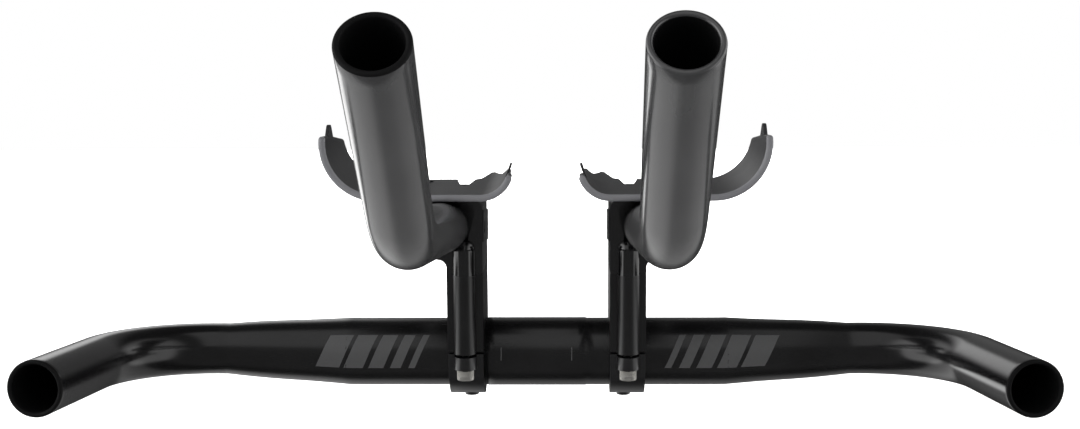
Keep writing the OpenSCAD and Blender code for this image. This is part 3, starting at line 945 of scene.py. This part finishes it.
# Printed marks
# Plain pad-printed stripes on each flank of the bar, and two short ticks that frame the stem clamp.
# The ink film follows the tube's surface.
def wrapped_patch(name, centre_x, centre_a, half_long, half_tall, slant, steps):
    """A thin closed patch on the bar: x runs along it, the angle is up from straight ahead."""
    film = 0.03 * MM
    bm = bmesh.new()
    layers = []
    for lift in (film, -film):
        grid = []
        for i in range(steps[0] + 1):
            row = []
            for j in range(steps[1] + 1):
                v = -1 + 2 * j / steps[1]
                a = centre_a + v * half_tall
                x = centre_x + (-1 + 2 * i / steps[0]) * half_long + v * slant
                r = bar_radius(x) + lift
                z0 = bar_axis_z(x)
                row.append(bm.verts.new((x, -r * math.cos(a), z0 + r * math.sin(a))))
            grid.append(row)
        layers.append(grid)
    top, low = layers
    for i in range(steps[0]):
        for j in range(steps[1]):
            bm.faces.new((top[i][j], top[i + 1][j], top[i + 1][j + 1], top[i][j + 1]))
            bm.faces.new((low[i][j], low[i][j + 1], low[i + 1][j + 1], low[i + 1][j]))
    for j in range(steps[1]):
        for i in (0, steps[0]):
            bm.faces.new((top[i][j], top[i][j + 1], low[i][j + 1], low[i][j]))
    for i in range(steps[0]):
        for j in (0, steps[1]):
            bm.faces.new((top[i][j], top[i + 1][j], low[i + 1][j], low[i][j]))
    bmesh.ops.recalc_face_normals(bm, faces=bm.faces)
    return smoothed(drawn(bm, name), 40)


def joined(name, parts):
    """Several meshes as one; the parts go."""
    bm = bmesh.new()
    for part in parts:
        bm.from_mesh(part)
        bpy.data.meshes.remove(part)
    return smoothed(drawn(bm, name), 40)


def bar_axis_z(x):
    """Height of the bar's axis, which lifts a little outside its straight middle."""
    out = abs(x) - TAPER_START
    arc = LIFT_R * math.sin(BAR_LIFT)
    if out < 0:
        return 0.0
    if out < arc:
        return LIFT_R - math.sqrt(LIFT_R ** 2 - out ** 2)
    return LIFT_R * (1 - math.cos(BAR_LIFT)) + (out - arc) * math.tan(BAR_LIFT)


def bar_radius(x):
    start = TAPER_START + LIFT_R * math.sin(BAR_LIFT)
    if abs(x) < STEM_ZONE / 2 - ZONE_STEP:
        return STEM_R
    if abs(x) < start:
        return BAR_R
    return drawn_down(min(1.0, (abs(x) - start) / (TAPER_LEN - LIFT_R * BAR_LIFT)))[0]


def print_ink(name, colour):
    """Matt ink with a fine screen texture."""
    material, shader, node, join = new_material(name)
    place = node("TexCoord")
    screen = node("TexVoronoi", Scale=1800.0)
    join(place.outputs["Object"], screen.inputs["Vector"])
    tint = node("ValToRGB")
    tint.color_ramp.elements[0].color = (*[c * 0.9 for c in colour], 1)
    tint.color_ramp.elements[1].color = (*colour, 1)
    join(screen.outputs["Distance"], tint.inputs["Fac"])
    join(tint.outputs["Color"], shader.inputs["Base Color"])
    relief = node("Bump", Strength=0.1, Distance=0.01 * MM)
    join(screen.outputs["Distance"], relief.inputs["Height"])
    join(relief.outputs["Normal"], shader.inputs["Normal"])
    shader.inputs["Roughness"].default_value = 0.5
    return material


stripe_ink = print_ink("stripe_ink", (0.052, 0.052, 0.053))
tick_ink = print_ink("tick_ink", (0.05, 0.05, 0.051))
# Each stripe's middle, measured out from the middle of the bracket pair, and half its width
STRIPES = ((98.0, 5.5), (86.0, 4.5), (75.5, 3.5), (66.5, 2.5), (59.0, 1.5))
STRIPE_UP, STRIPE_HALF = math.radians(13), math.radians(29)
STRIPE_SLANT = 3.5 * MM
TICK_X = 16.2 * MM
TICK_UP, TICK_HALF = math.radians(9), math.radians(11)
for side, sign in SIDES.items():
    parts = [
        wrapped_patch("stripe", sign * middle_x * MM + PAIR_SHIFT, STRIPE_UP, half_long * MM,
                      STRIPE_HALF, STRIPE_SLANT, (6, 16))
        for middle_x, half_long in STRIPES]
    piece = add_piece(side + "_stripes", joined(side + "_stripes_film", parts), stripe_ink)
    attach(piece, "root")
for side, sign in SIDES.items():
    tick = wrapped_patch(
        side + "_tick_film", sign * TICK_X, TICK_UP, 0.22 * MM, TICK_HALF, 0, (2, 10))
    piece = add_piece(side + "_tick", tick, tick_ink)
    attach(piece, "root")


# Floor, lights and camera
# A pale floor, a panel over the rear, one in front and a strip at the left. Reflections show none
# of them, only the surroundings, which are lit in patches; the camera sees those plain white.
FLOOR_Z = -180 * MM
floor_material, floor_shader, *_ = new_material("pale_floor")
floor_shader.inputs["Base Color"].default_value = (0.9, 0.9, 0.9, 1)
floor_shader.inputs["Roughness"].default_value = 0.9
floor_shader.inputs["Specular IOR Level"].default_value = 0.1
floor_mesh = bpy.data.meshes.new("floor")
floor_mesh.from_pydata(
    [(-3, -3, FLOOR_Z), (3, -3, FLOOR_Z), (3, 2.4, FLOOR_Z), (-3, 2.4, FLOOR_Z)], [], [(0, 1, 2, 3)])
floor = add_piece("floor", floor_mesh, floor_material)


def soft_lamp(name, place, target, width, height, radiance):
    """A rectangular softbox, not seen itself, whose power follows from its size and brightness."""
    lamp = bpy.data.lights.new(name, "AREA")
    lamp.shape = "RECTANGLE"
    lamp.size = width
    lamp.size_y = height
    lamp.energy = math.pi * width * height * radiance
    holder = new_object(name, lamp)
    aim = (Vector(target) - Vector(place)).to_track_quat("-Z", "Y")
    holder.matrix_world = Matrix.Translation(place) @ aim.to_matrix().to_4x4()
    holder.visible_camera = False
    return holder


back_panel = soft_lamp("back_panel", (0, 1.9, 0.75), (0, 1.9, 0), 5.0, 2.2, 4.2)
front_panel = soft_lamp("front_panel", (0, -2.3, 0.9), (0, 0, 0.05), 4.4, 1.7, 0.9)
left_strip = soft_lamp("left_strip", (-1.5, -0.5, 0.2), (0, -0.1, 0.05), 0.5, 1.4, 3)
for thing in (back_panel, front_panel, left_strip, floor):
    thing.visible_glossy = False

world = bpy.data.worlds.new("studio")
bpy.context.scene.world = world
world.use_nodes = True
tree = world.node_tree
sky = tree.nodes["Background"]
seen = tree.nodes.new("ShaderNodeBackground")
choose = tree.nodes.new("ShaderNodeMixShader")
path = tree.nodes.new("ShaderNodeLightPath")
heading = tree.nodes.new("ShaderNodeTexCoord")
parts_of = tree.nodes.new("ShaderNodeSeparateXYZ")
tree.links.new(heading.outputs["Generated"], parts_of.inputs["Vector"])


def sky_math(operation, a, b):
    step = tree.nodes.new("ShaderNodeMath")
    step.operation = operation
    for socket, value in zip(step.inputs, (a, b)):
        if isinstance(value, (int, float)):
            socket.default_value = value
        else:
            tree.links.new(value, socket)
    return step.outputs["Value"]


def sky_step(axis, start, end, low=0.0, high=1.0):
    """Goes smoothly from low to high as that part of the direction goes from start to end."""
    step = tree.nodes.new("ShaderNodeMapRange")
    step.interpolation_type = "SMOOTHSTEP"
    tree.links.new(parts_of.outputs[axis], step.inputs["Value"])
    for key, value in (("From Min", start), ("From Max", end), ("To Min", low), ("To Max", high)):
        step.inputs[key].default_value = value
    return step.outputs["Result"]


def sky_area(*steps):
    """The product of some steps, as a patch of sky; a step may also be a value made before."""
    out = None
    for step in steps:
        value = sky_step(*step) if isinstance(step, tuple) else step
        out = value if out is None else sky_math("MULTIPLY", out, value)
    return out


across_under = sky_math("ADD", sky_step("X", -0.32, 0.0, 0.95, 0.36), sky_step("X", 0.3, 0.5, 0.0, 0.1))
under = sky_area(
    across_under, ("Z", -0.36, -0.24, 1.0, 0.0), ("Y", 0.1, 0.25), ("Y", 0.76, 0.88, 1.0, 0.0))
rear_left = sky_area(
    ("Y", 0.7, 0.8, 0.0, 2.6), ("Y", 0.88, 0.93, 1.0, 0.0), ("X", -0.24, -0.14, 1.0, 0.0),
    ("Z", -0.38, -0.3), ("Z", -0.2, -0.12, 1.0, 0.0))
rear_top = sky_area(("Y", 0.7, 0.9, 0.0, 1.7), ("Z", 0.0, 0.2), ("X", -0.2, -0.1, 1.0, 0.12))
overhead = sky_area(
    ("Z", 0.36, 0.44, 0.0, 0.7), ("Y", 0.0, 0.1, 1.0, 0.0), ("X", 0.18, 0.3, 1.0, 0.15))
both_sides = sky_math("ADD", sky_step("X", -0.75, -0.5, 1.5, 0.0), sky_step("X", 0.5, 0.75, 0.0, 1.1))
upper_sides = sky_area(both_sides, ("Z", 0.1, 0.3))
level = (("Z", 0.3, 0.6, 1.0, 0.0), ("Z", -0.6, -0.4))
left_side = sky_area(("X", -0.86, -0.78, 2.0, 0.0), *level)
right_side = sky_area(("X", 0.7, 0.84, 0.0, 1.3), *level)
ahead = sky_area(("Y", -0.5, -0.2, 0.15, 0.0), ("Z", 0.36, 0.44, 1.0, 0.0))
glow = 0.05
for part in (under, rear_left, rear_top, overhead, upper_sides, left_side, right_side, ahead):
    glow = sky_math("ADD", glow, part)
sky.inputs["Color"].default_value = (1, 1, 1, 1)
tree.links.new(glow, sky.inputs["Strength"])
seen.inputs["Color"].default_value = (1, 1, 1, 1)
seen.inputs["Strength"].default_value = 1.0
tree.links.new(path.outputs["Is Camera Ray"], choose.inputs["Fac"])
tree.links.new(sky.outputs["Background"], choose.inputs[1])
tree.links.new(seen.outputs["Background"], choose.inputs[2])
tree.links.new(choose.outputs["Shader"], tree.nodes["World Output"].inputs["Surface"])
bpy.context.scene.view_settings.view_transform = "Standard"

PHOTO_W = 1080
LENS_PX = 1481
CAMERA_AT = (16.06 * MM, -676.65 * MM, 172.82 * MM)
PITCH = math.radians(9.067)
YAW = math.radians(1.217)
ROLL = math.radians(0.33)
view = bpy.data.cameras.new("photo_camera")
view.sensor_fit = "HORIZONTAL"
view.sensor_width = 36
view.lens = view.sensor_width * LENS_PX / PHOTO_W
view.clip_start = 0.01
camera = new_object("photo_camera", view)
camera.matrix_world = (
    Matrix.Translation(CAMERA_AT) @ turn("Z", YAW)
    @ turn("X", math.pi / 2 - PITCH) @ turn("Z", -ROLL))
bpy.context.scene.camera = camera
